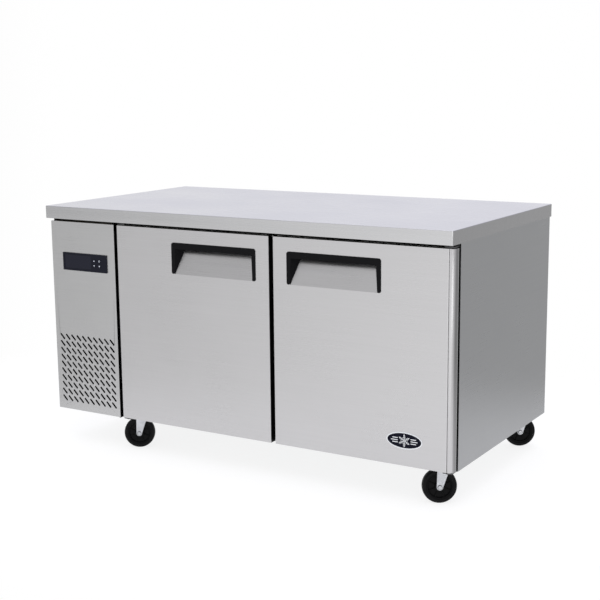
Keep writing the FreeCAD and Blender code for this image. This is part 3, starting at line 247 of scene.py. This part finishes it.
MATERIALS = {
    # ends=0.64: painted shade on the worktop's end faces
    "top_steel": brushed("top_steel", (0.57, 0.57, 0.58), 0.27, "x", "Y", ends=0.64),
    # Darker than the other stainless steels: painted shade for the side panels, which face away from the
    # light.
    "side_steel": brushed("side_steel", (0.365, 0.37, 0.38), 0.32, "y"),
    "front_steel": brushed("front_steel", (0.53, 0.53, 0.535), 0.32, "x"),
    # ends=0.43: painted shade on the doors' side faces
    "door_steel": brushed("door_steel", (0.565, 0.56, 0.57), 0.30, "x", ends=0.43),
    "liner_steel": brushed("liner_steel", (0.60, 0.605, 0.61), 0.36, "x"),
    "rear_sheet": zinc("rear_sheet", (0.46, 0.47, 0.48), 0.42, 60.0),
    "galvanised_steel": zinc("galvanised_steel", (0.34, 0.355, 0.365), 0.45, 45.0),
    "zinc_steel": zinc("zinc_steel", (0.60, 0.61, 0.64), 0.36, 330.0, (0.55, 1.2)),
    # Nearly black: painted shade, so the hinge brackets in the door gaps read as shade; the caster washers
    # share this colour.
    "hinge_steel": zinc("hinge_steel", (0.09, 0.09, 0.092), 0.45),
    "screw_steel": zinc("screw_steel", (0.56, 0.56, 0.57), 0.24),
    "clip_steel": zinc("clip_steel", (0.60, 0.60, 0.60), 0.25),
    "core_board": board(),
    "foam": foam(),
    # Black plastic frame, made darker and duller than real plastic: painted shade where it shows through
    # the door gaps.
    "black_frame": plastic("black_frame", (0.002, 0.002, 0.002), 0.6, shine=0.02),
    # Nearly black edge trims with little sheen: painted shade for the door edges that sit in shade in the
    # gaps.
    "black_trim": plastic("black_trim", (0.003, 0.003, 0.003), 0.5, shine=0.04),
    "black_nylon": plastic("black_nylon", (0.012, 0.012, 0.012), 0.45, shine=0.25),
    "black_plastic": plastic("black_plastic", (0.012, 0.012, 0.012), 0.5, shine=0.25),
    "handle_black": plastic("handle_black", (0.004, 0.004, 0.005), 0.42, 1200.0, 0.00008, shine=0.09),
    "display_black": plastic("display_black", (0.006, 0.007, 0.015), 0.22, 300.0, 0.00002, shine=0.16),
    "display_lens": plastic("display_lens", (0.004, 0.005, 0.016), 0.10, 120.0, 0.00001, shine=0.3),
    "key_black": plastic("key_black", (0.010, 0.011, 0.020), 0.35, 900.0, 0.00003, shine=0.2),
    "compressor_black": plastic("compressor_black", (0.008, 0.008, 0.008), 0.28, 260.0, 0.0003, 0.2, 0.3),
    # Coil made nearly black: painted shade for the dark machine compartment seen through the rear grille.
    "coil_aluminium": zinc("coil_aluminium", (0.06, 0.06, 0.065), 0.5, 400.0),
    "shroud_plastic": plastic("shroud_plastic", (0.012, 0.012, 0.013), 0.5, shine=0.15),
    "fan_blade": plastic("fan_blade", (0.012, 0.012, 0.013), 0.38, shine=0.2),
    "white_plastic": plastic("white_plastic", (0.66, 0.67, 0.67), 0.32, 700.0, 0.00005),
    "liner_plastic": plastic("liner_plastic", (0.60, 0.61, 0.61), 0.34, 700.0, 0.00005),
    "motor_grey": plastic("motor_grey", (0.12, 0.12, 0.13), 0.4, 500.0, 0.0001),
    "copper": zinc("copper", (0.62, 0.30, 0.18), 0.3, 300.0),
    "shelf_coating": plastic("shelf_coating", (0.66, 0.67, 0.67), 0.3, 500.0, 0.0001, coat=0.3),
    "wheel_black": rubber("wheel_black", (0.004, 0.004, 0.0045), 0.45, (0.012, 0.012, 0.013)),
    "wheel_core": plastic("wheel_core", (0.005, 0.005, 0.0055), 0.45, 500.0, 0.0001, shine=0.08),
    "legend": plastic("legend", (0.62, 0.66, 0.74), 0.4, 500.0, 0.00001),
    "gasket_rubber": rubber("gasket_rubber", (0.003, 0.003, 0.003), 0.6, (0.006, 0.006, 0.006)),
    "bush_nylon": plastic("bush_nylon", (0.62, 0.62, 0.58), 0.4),
    "badge_plate": plastic("badge_plate", (0.003, 0.004, 0.012), 0.2, 500.0, 0.00002, shine=0.08),
    "silver_print": plastic("silver_print", (0.80, 0.82, 0.85), 0.3, 500.0, 0.00001),
}
SLOT_OF = {part["node"]: part["material_slot"] for part in frame["record"]["subparts"]}


def dress_cad_nodes():
    """Gives every CAD node the material of its slot."""
    for name, obj in NODES.items():
        obj.data.materials.clear()
        obj.data.materials.append(MATERIALS[SLOT_OF[name]])
        for face in obj.data.polygons:
            face.material_index = 0


# ---------------------------------------------------------------- mesh helpers
WELD_GAP = 0.00001
BEVEL_ANGLE = 35.0          # degrees: edges sharper than this are rounded


def link_mesh(name, bm, material, place=None, sharp=32.0):
    """Turns a bmesh into a piece with smooth shading and sharp creases."""
    bmesh.ops.recalc_face_normals(bm, faces=bm.faces)
    if place is not None:
        bmesh.ops.transform(bm, matrix=place, verts=bm.verts)
    mesh = bpy.data.meshes.new(name)
    bm.to_mesh(mesh)
    bm.free()
    mesh.shade_smooth()
    mesh.set_sharp_from_angle(angle=math.radians(sharp))
    mesh.materials.append(MATERIALS[material])
    obj = bpy.data.objects.new(name, mesh)
    bpy.context.scene.collection.objects.link(obj)
    return obj


def lathe(bm, outline, steps=64, ring=True):
    """Turns an outline of (radius, height) points about Z.

    A ring's outline is closed; otherwise its two ends are capped.
    """
    turns = []
    for i in range(steps):
        a = 2 * math.pi * i / steps
        turns.append([bm.verts.new((r * math.cos(a), r * math.sin(a), h)) for r, h in outline])
    count = len(outline)
    for i in range(steps):
        here, there = turns[i], turns[(i + 1) % steps]
        for k in range(count if ring else count - 1):
            n = (k + 1) % count
            bm.faces.new((here[k], there[k], there[n], here[n]))
    if not ring:
        bm.faces.new([t[0] for t in turns])
        bm.faces.new([t[-1] for t in turns])


def slab(bm, outline, low, high):
    """A polygon of (x, y) points raised from low to high along Z."""
    bottom = [bm.verts.new((x, y, low)) for x, y in outline]
    top = [bm.verts.new((x, y, high)) for x, y in outline]
    bm.faces.new(bottom[::-1])
    bm.faces.new(top)
    for i in range(len(outline)):
        j = (i + 1) % len(outline)
        bm.faces.new((bottom[i], bottom[j], top[j], top[i]))


def soften(obj, width):
    """Rounds a piece's sharp edges."""
    weld = obj.modifiers.new("weld", "WELD")
    weld.merge_threshold = WELD_GAP
    bevel = obj.modifiers.new("edges", "BEVEL")
    bevel.width = width
    bevel.segments = 2
    bevel.limit_method = "ANGLE"
    bevel.angle_limit = math.radians(BEVEL_ANGLE)
    bevel.harden_normals = True


def axis_frame(at, axis):
    """A placement whose Z runs along a level axis and whose Y points up."""
    z = Vector(axis).normalized()
    x = Vector((0, 0, 1)).cross(z).normalized()
    y = z.cross(x)
    return Matrix.Translation(Vector(at)) @ Matrix((x, y, z)).transposed().to_4x4()


def facing_front(x, y, z):
    """A placement whose Z points out of a front face, towards -Y."""
    return Matrix.Translation((x, y, z)) @ Matrix.Rotation(math.radians(90), 4, "X")


def place_piece(obj, body, slot, *replaced):
    """Gives a piece its body, and hides the CAD nodes that it stands in for; slot is not used."""
    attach(obj, body)
    if replaced:
        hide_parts(*replaced)


# ---------------------------------------------------------------- casters
def both_sides(half, middle=()):
    """A half outline, then its mirror image, for a profile that is the same on both sides."""
    return half + list(middle) + [(radius, -height) for radius, height in reversed(half)]


CASTERS = ("front_left", "front_right", "rear_left", "rear_right")
TYRE = both_sides([
    (0.0372, -0.0122), (0.0395, -0.0142), (0.0440, -0.0149), (0.0474, -0.0136), (0.0492, -0.0100),
    (0.0499, -0.0055),
], [(0.0500, 0.0)])
WHEEL_CORE = both_sides([
    (0.0369, -0.0120), (0.0345, -0.0122), (0.0335, -0.0112), (0.0320, -0.0078), (0.0180, -0.0072),
    (0.0158, -0.0082), (0.0148, -0.0150), (0.0138, -0.0168), (0.0052, -0.0168), (0.00415, -0.0160),
])
RIBS = 8                            # on each face of the wheel's core
RIB_RADII = (0.0140, 0.0342)
RIB_HEIGHTS = (0.0070, 0.0112)
RIB_HALF = 0.0011
FORK_FACE = 0.0201                  # from the wheel's middle to just outside the fork's leg
WASHER = [
    (0.0041, 0.0), (0.0066, 0.0), (0.0069, 0.0003), (0.0069, 0.0008), (0.0066, 0.0011), (0.0041, 0.0011),
]
AXLE_HEAD = [(0.0046, 0.0010), (0.0047, 0.0019), (0.0043, 0.0026), (0.0031, 0.0030), (0.0001, 0.0031)]
RACE_CUP = [
    (0.0120, 0.1061), (0.0226, 0.1061), (0.0246, 0.1068), (0.0256, 0.1084), (0.0256, 0.1100),
    (0.0249, 0.1114), (0.0120, 0.1116),
]


def wheel_core():
    """The wheel's dished centre with its hub and the ribs on both faces."""
    core = bmesh.new()
    lathe(core, WHEEL_CORE, 72)
    inner, outer = RIB_RADII
    rib = [(inner, -RIB_HALF), (outer, -RIB_HALF), (outer, RIB_HALF), (inner, RIB_HALF)]
    for i in range(RIBS):
        turn = Matrix.Rotation(2 * math.pi * (i + 0.5) / RIBS, 3, "Z")
        for side in (-1, 1):
            low, high = sorted(side * height for height in RIB_HEIGHTS)
            start = len(core.verts)
            slab(core, rib, low, high)
            core.verts.ensure_lookup_table()
            bmesh.ops.rotate(core, verts=core.verts[start:], cent=(0, 0, 0), matrix=turn)
    return core


def axle_end(name, label, place, body):
    """The dark washer and the round head at one end of an axle."""
    washer = bmesh.new()
    lathe(washer, [(r, FORK_FACE + h) for r, h in WASHER], 40)
    place_piece(link_mesh(f"{name}_washer_{label}", washer, "hinge_steel", place), body, "zinc_steel")
    head = bmesh.new()
    lathe(head, [(r, FORK_FACE + h) for r, h in AXLE_HEAD], 40, ring=False)
    place_piece(link_mesh(f"{name}_axle_{label}", head, "zinc_steel", place), body, "zinc_steel")


def caster(name):
    """Detailed wheel, axle ends and race of one caster."""
    spin = JOINTS[f"{name}_caster_wheel_spin"]
    swivel = JOINTS[f"{name}_caster_swivel"]
    hub = axis_frame(spin["pos_m"], spin["axis"])
    rolling, steering = f"{name}_caster_wheel", f"{name}_caster_swivel"

    tyre = bmesh.new()
    lathe(tyre, TYRE, 96)
    tyre = link_mesh(f"{name}_tyre", tyre, "wheel_black", hub)
    place_piece(tyre, rolling, "wheel_black", f"{name}_caster_wheel")
    core = link_mesh(f"{name}_wheel_core", wheel_core(), "wheel_core", hub)
    place_piece(core, rolling, "wheel_black")

    for side, label in ((-1, "outer"), (1, "inner")):
        axle_end(name, label, axis_frame(Vector(spin["pos_m"]), Vector(spin["axis"]) * side), steering)

    race = bmesh.new()
    lathe(race, RACE_CUP, 64)
    at = Matrix.Translation((swivel["pos_m"][0], swivel["pos_m"][1], 0.0))
    place_piece(link_mesh(f"{name}_race_cup", race, "zinc_steel", at), steering, "zinc_steel")
    soften(NODES[f"{name}_caster_fork"], 0.0007)


# ---------------------------------------------------------------- doors
GASKET_OUTLINE = [
    (0.0015, 0.0), (0.0125, 0.0), (0.0125, 0.0012), (0.0104, 0.0020), (0.0128, 0.0031), (0.0128, 0.0040),
    (0.0108, 0.0049), (0.0134, 0.0058), (0.0136, 0.0078), (0.0130, 0.0082), (0.0010, 0.0082),
    (0.0004, 0.0078), (0.0006, 0.0058), (0.0032, 0.0049), (0.0012, 0.0040), (0.0012, 0.0031),
    (0.0036, 0.0020), (0.0015, 0.0012),
]


def gasket(side):
    """Bellows gasket swept round the door, mitred and welded at its corners."""
    low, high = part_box(f"{side}_door_gasket")
    bm = bmesh.new()
    corners = [
        (low.x, low.z, 1, 1), (high.x, low.z, -1, 1), (high.x, high.z, -1, -1), (low.x, high.z, 1, -1)
    ]
    rings = [[bm.verts.new((x + sx * u, low.y + w, z + sz * u)) for u, w in GASKET_OUTLINE]
             for x, z, sx, sz in corners]
    for i in range(4):
        here, there = rings[i], rings[(i + 1) % 4]
        for k in range(len(GASKET_OUTLINE)):
            n = (k + 1) % len(GASKET_OUTLINE)
            bm.faces.new((here[k], there[k], there[n], here[n]))
    obj = link_mesh(f"{side}_door_bellows", bm, "gasket_rubber", sharp=50.0)
    place_piece(obj, f"{side}_door", "gasket_rubber", f"{side}_door_gasket")


BADGE_STEPS = 96
BAR_HALF = 0.0012                   # half width of the badge's bars and of the snowflake's arms
BADGE_BARS = ((0.26, 0.36, 0.66), (0.0, 0.36, 0.74), (-0.26, 0.36, 0.66))
BARBS = ((0.42, 0.24), (0.70, 0.17))


def oval_shell(bm, half_w, half_h, levels, capped):
    """Skin through ovals, each given by how far it is drawn in and its height."""
    rings = []
    for shrink, height in levels:
        angles = [2 * math.pi * i / BADGE_STEPS for i in range(BADGE_STEPS)]
        rings.append([
            bm.verts.new(((half_w - shrink) * math.cos(a), (half_h - shrink) * math.sin(a), height))
            for a in angles])
    if not capped:
        rings.append(rings[0])
    for lower, upper in zip(rings, rings[1:]):
        for i in range(BADGE_STEPS):
            j = (i + 1) % BADGE_STEPS
            bm.faces.new((lower[i], lower[j], upper[j], upper[i]))
    if capped:
        bm.faces.new(rings[0][::-1])
        bm.faces.new(rings[-1])


def bar(bm, start, end, y, half, heights):
    """Straight bar along X."""
    slab(bm, [(start, y - half), (end, y - half), (end, y + half), (start, y + half)], *heights)


def snowflake(bm, arm, heights):
    """Six arms with two pairs of barbs each."""
    for i in range(6):
        start = len(bm.verts)
        bar(bm, 0.0, arm, 0.0, BAR_HALF, heights)
        for reach, barb in BARBS:
            for lean in (-1, 1):
                first = len(bm.verts)
                bar(bm, 0.0, arm * barb, 0.0, BAR_HALF * 0.8, heights)
                bm.verts.ensure_lookup_table()
                turn = Matrix.Rotation(lean * math.radians(60), 4, "Z")
                place = Matrix.Translation((arm * reach, 0, 0)) @ turn
                bmesh.ops.transform(bm, matrix=place, verts=bm.verts[first:])
        bm.verts.ensure_lookup_table()
        spin = Matrix.Rotation(math.radians(60 * i + 30), 3, "Z")
        bmesh.ops.rotate(bm, verts=bm.verts[start:], cent=(0, 0, 0), matrix=spin)


def badge():
    """Oval plate with a raised silver rim, a plain snowflake and three bars on each side of it."""
    low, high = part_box("badge")
    half_w, half_h, depth = (high.x - low.x) / 2, (high.z - low.z) / 2, high.y - low.y
    place = facing_front((low.x + high.x) / 2, high.y, (low.z + high.z) / 2)

    plate = bmesh.new()
    levels = [(0.0009, 0.0), (0.0009, depth * 0.55), (0.0035, depth * 0.60), (0.0120, depth * 0.70)]
    oval_shell(plate, half_w, half_h, levels, True)
    place_piece(link_mesh("badge_field", plate, "badge_plate", place), "right_door", "badge_plate", "badge")

    rim = bmesh.new()
    levels = [(0.0, 0.0), (0.0, depth * 0.6), (0.0006, depth * 0.92), (0.0015, depth),
              (0.0026, depth * 0.9), (0.0031, depth * 0.66), (0.0031, 0.0)]
    oval_shell(rim, half_w, half_h, levels, False)
    place_piece(link_mesh("badge_rim", rim, "silver_print", place), "right_door", "badge_plate")

    emblem = bmesh.new()
    heights = (depth * 0.4, depth * 0.86)
    for side in (-1, 1):
        for height, inner, outer in BADGE_BARS:
            start, end = sorted((side * half_w * inner, side * half_w * outer))
            bar(emblem, start, end, half_h * height, BAR_HALF, heights)
    snowflake(emblem, half_h * 0.74, heights)
    place_piece(link_mesh("badge_snowflake", emblem, "silver_print", place), "right_door", "badge_plate")


# ---------------------------------------------------------------- controller keys
MARK_SHARE = 0.34                   # half size of a mark, as a share of its key
MARK_HEIGHT = 0.00012


def key_mark(node, kind):
    """Small raised mark on one key: an arrow head, a ring with a bar, or a dot."""
    low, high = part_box(node)
    half = (high.z - low.z) * MARK_SHARE
    bm = bmesh.new()
    if kind in ("up", "down"):
        flip = 1 if kind == "up" else -1
        base, tip = -half * 0.7 * flip, half * 0.9 * flip
        slab(bm, [(-half, base), (half, base), (0.0, tip)], 0.0, MARK_HEIGHT)
    elif kind == "power":
        inner, width, near, far = half * 0.72, half * 0.12, half * 0.2, half * 1.15
        lathe(bm, [(inner, 0.0), (half, 0.0), (half, MARK_HEIGHT), (inner, MARK_HEIGHT)], 32)
        slab(bm, [(-width, near), (width, near), (width, far), (-width, far)], 0.0, 0.00014)
    else:
        lathe(bm, [(half * 0.8, 0.0), (half * 0.8, MARK_HEIGHT)], 32, ring=False)
    place = facing_front((low.x + high.x) / 2, low.y, (low.z + high.z) / 2)
    place_piece(link_mesh(f"{node}_mark", bm, "legend", place), node, "key_black")


def softened_nodes():
    """Rounds the edges of CAD nodes whose real pieces are bent or moulded."""
    widths = {
        "worktop": 0.0008, "left_door_skin": 0.0007, "right_door_skin": 0.0007, "control_panel": 0.0004,
        "display_bezel": 0.0011, "left_handle": 0.0009, "right_handle": 0.0009,
        "left_door_liner": 0.0012, "right_door_liner": 0.0012, "hinge_brackets": 0.0006,
        "left_door_trim": 0.0004, "right_door_trim": 0.0004, "rear_grille": 0.0003,
        "controller_box": 0.002, "evaporator_cover": 0.0012, "condensate_pan": 0.0006,
        "caster_plates": 0.0006, "front_frame": 0.0006,
    }
    for name, width in widths.items():
        soften(NODES[name], width)
    for kind in ("up", "power", "down", "set"):
        soften(NODES[f"button_{kind}"], 0.0006)


# ---------------------------------------------------------------- studio
def aim(obj, at, target):
    """Puts a light at a point and turns it towards another."""
    obj.location = at
    obj.rotation_euler = (Vector(target) - Vector(at)).to_track_quat("-Z", "Y").to_euler()


def area_light(name, at, target, size, power):
    data = bpy.data.lights.new(name, "AREA")
    data.shape = "RECTANGLE"
    data.size, data.size_y = size
    data.energy = power
    obj = bpy.data.objects.new(name, data)
    bpy.context.scene.collection.objects.link(obj)
    aim(obj, at, target)


def world():
    """White surroundings: darker on both sides, brighter straight ahead, cool overhead."""
    surroundings = bpy.data.worlds.new("studio")
    surroundings.use_nodes = True
    tree = surroundings.node_tree
    background = tree.nodes["Background"]
    direction = tree.nodes.new("ShaderNodeTexCoord").outputs["Generated"]

    def part(axis, start, end, low, high):
        """A level that depends on how far a direction points along an axis."""
        dot = tree.nodes.new("ShaderNodeVectorMath")
        dot.operation = "DOT_PRODUCT"
        dot.inputs[1].default_value = axis
        tree.links.new(direction, dot.inputs[0])
        level = tree.nodes.new("ShaderNodeMapRange")
        level.interpolation_type = "SMOOTHSTEP"
        for socket, number in zip(("From Min", "From Max", "To Min", "To Max"), (start, end, low, high)):
            level.inputs[socket].default_value = number
        tree.links.new(dot.outputs["Value"], level.inputs["Value"])
        return level.outputs["Result"]

    level = part((0.95, 0.30, 0.0), 0.02, 0.60, 1.0, 0.66)
    for axis, start, end, low, high in (
            ((-0.98, -0.20, 0.0), 0.50, 0.95, 1.0, 0.56),
            ((-0.42, -0.72, 0.55), 0.72, 0.98, 1.0, 0.76),
            ((0.25, -0.95, -0.18), 0.50, 0.77, 1.0, 1.19),
            ((0.50, -0.76, 0.42), 0.84, 0.98, 1.0, 0.68)):
        product = tree.nodes.new("ShaderNodeMath")
        product.operation = "MULTIPLY"
        tree.links.new(level, product.inputs[0])
        tree.links.new(part(axis, start, end, low, high), product.inputs[1])
        level = product.outputs[0]
    cool = tree.nodes.new("ShaderNodeMix")
    cool.data_type = "RGBA"
    cool.inputs[6].default_value = (1.0, 1.0, 1.0, 1.0)
    cool.inputs[7].default_value = (0.93, 0.93, 1.04, 1.0)
    tree.links.new(part((0.0, 0.35, 0.94), 0.36, 0.52, 0.0, 1.0), cool.inputs[0])
    tree.links.new(cool.outputs[2], background.inputs["Color"])
    tree.links.new(level, background.inputs["Strength"])
    bpy.context.scene.world = surroundings


def floor():
    """Pale floor that fades out into the surroundings away from the cabinet."""
    bpy.ops.mesh.primitive_plane_add(size=12.0, location=(0, 0, 0))
    plane = bpy.context.object
    plane.name = "studio_floor"
    m = Shader("studio_floor", (0.28, 0.28, 0.28), 0.7, Specular_IOR_Level=0.0, Emission_Strength=0.81)
    m.bsdf.inputs["Emission Color"].default_value = (1.0, 1.0, 1.0, 1.0)
    coords = m.node("ShaderNodeTexCoord")
    oval = m.node("ShaderNodeMapping")
    oval.inputs["Scale"].default_value = (1.0, 1.4, 1.0)
    m.link(coords.outputs["Object"], oval.inputs["Vector"])
    far = m.node("ShaderNodeVectorMath", operation="LENGTH")
    m.link(oval.outputs["Vector"], far.inputs[0])
    clear = m.node("ShaderNodeBsdfTransparent")
    fade = m.node("ShaderNodeMixShader")
    m.link(m.ranged(far.outputs["Value"], 0.0, 1.0, 0.95, 1.9), fade.inputs[0])
    m.link(m.bsdf.outputs[0], fade.inputs[1])
    m.link(clear.outputs[0], fade.inputs[2])
    m.link(fade.outputs[0], m.tree.nodes["Material Output"].inputs["Surface"])
    plane.data.materials.append(m.mat)


CAMERA_AT = Vector((2.0316, -3.3275, 1.2026))
CAMERA_YAW, CAMERA_PITCH, CAMERA_ROLL = 31.2405, 10.5172, -0.5620
CAMERA_LENS = 73.11


def camera():
    """Camera at the viewing angle; the yaw turns it left of +Y and the pitch turns it down."""
    yaw, pitch, roll = (math.radians(a) for a in (CAMERA_YAW, CAMERA_PITCH, CAMERA_ROLL))
    ahead = Vector((-math.sin(yaw) * math.cos(pitch), math.cos(yaw) * math.cos(pitch), -math.sin(pitch)))
    level = Vector((math.cos(yaw), math.sin(yaw), 0.0))
    up = level.cross(ahead)
    right = level * math.cos(roll) + up * math.sin(roll)
    above = up * math.cos(roll) - level * math.sin(roll)
    data = bpy.data.cameras.new("camera")
    data.lens = CAMERA_LENS
    data.sensor_width = 36.0
    data.clip_end = 60.0
    obj = bpy.data.objects.new("camera", data)
    bpy.context.scene.collection.objects.link(obj)
    axes = Matrix((right, above, -ahead)).transposed()
    obj.matrix_world = Matrix.Translation(CAMERA_AT) @ axes.to_4x4()
    bpy.context.scene.camera = obj


dress_cad_nodes()
softened_nodes()
for caster_name in CASTERS:
    caster(caster_name)
for door_side in ("left", "right"):
    gasket(door_side)
badge()
for key in ("up", "down", "power", "set"):
    key_mark(f"button_{key}", key)
world()
floor()
area_light("key", (1.2, -2.6, 4.2), (0, 0, 0.4), (3.0, 2.0), 26.0)
area_light("edge", (2.9, -3.6, 0.9), (0.6, -0.3, 0.45), (1.8, 1.6), 11.0)
area_light("top", (0.2, 0.3, 3.6), (0, 0, 0.4), (3.5, 2.5), 15.0)
camera()
bpy.context.scene.view_settings.view_transform = "Standard"
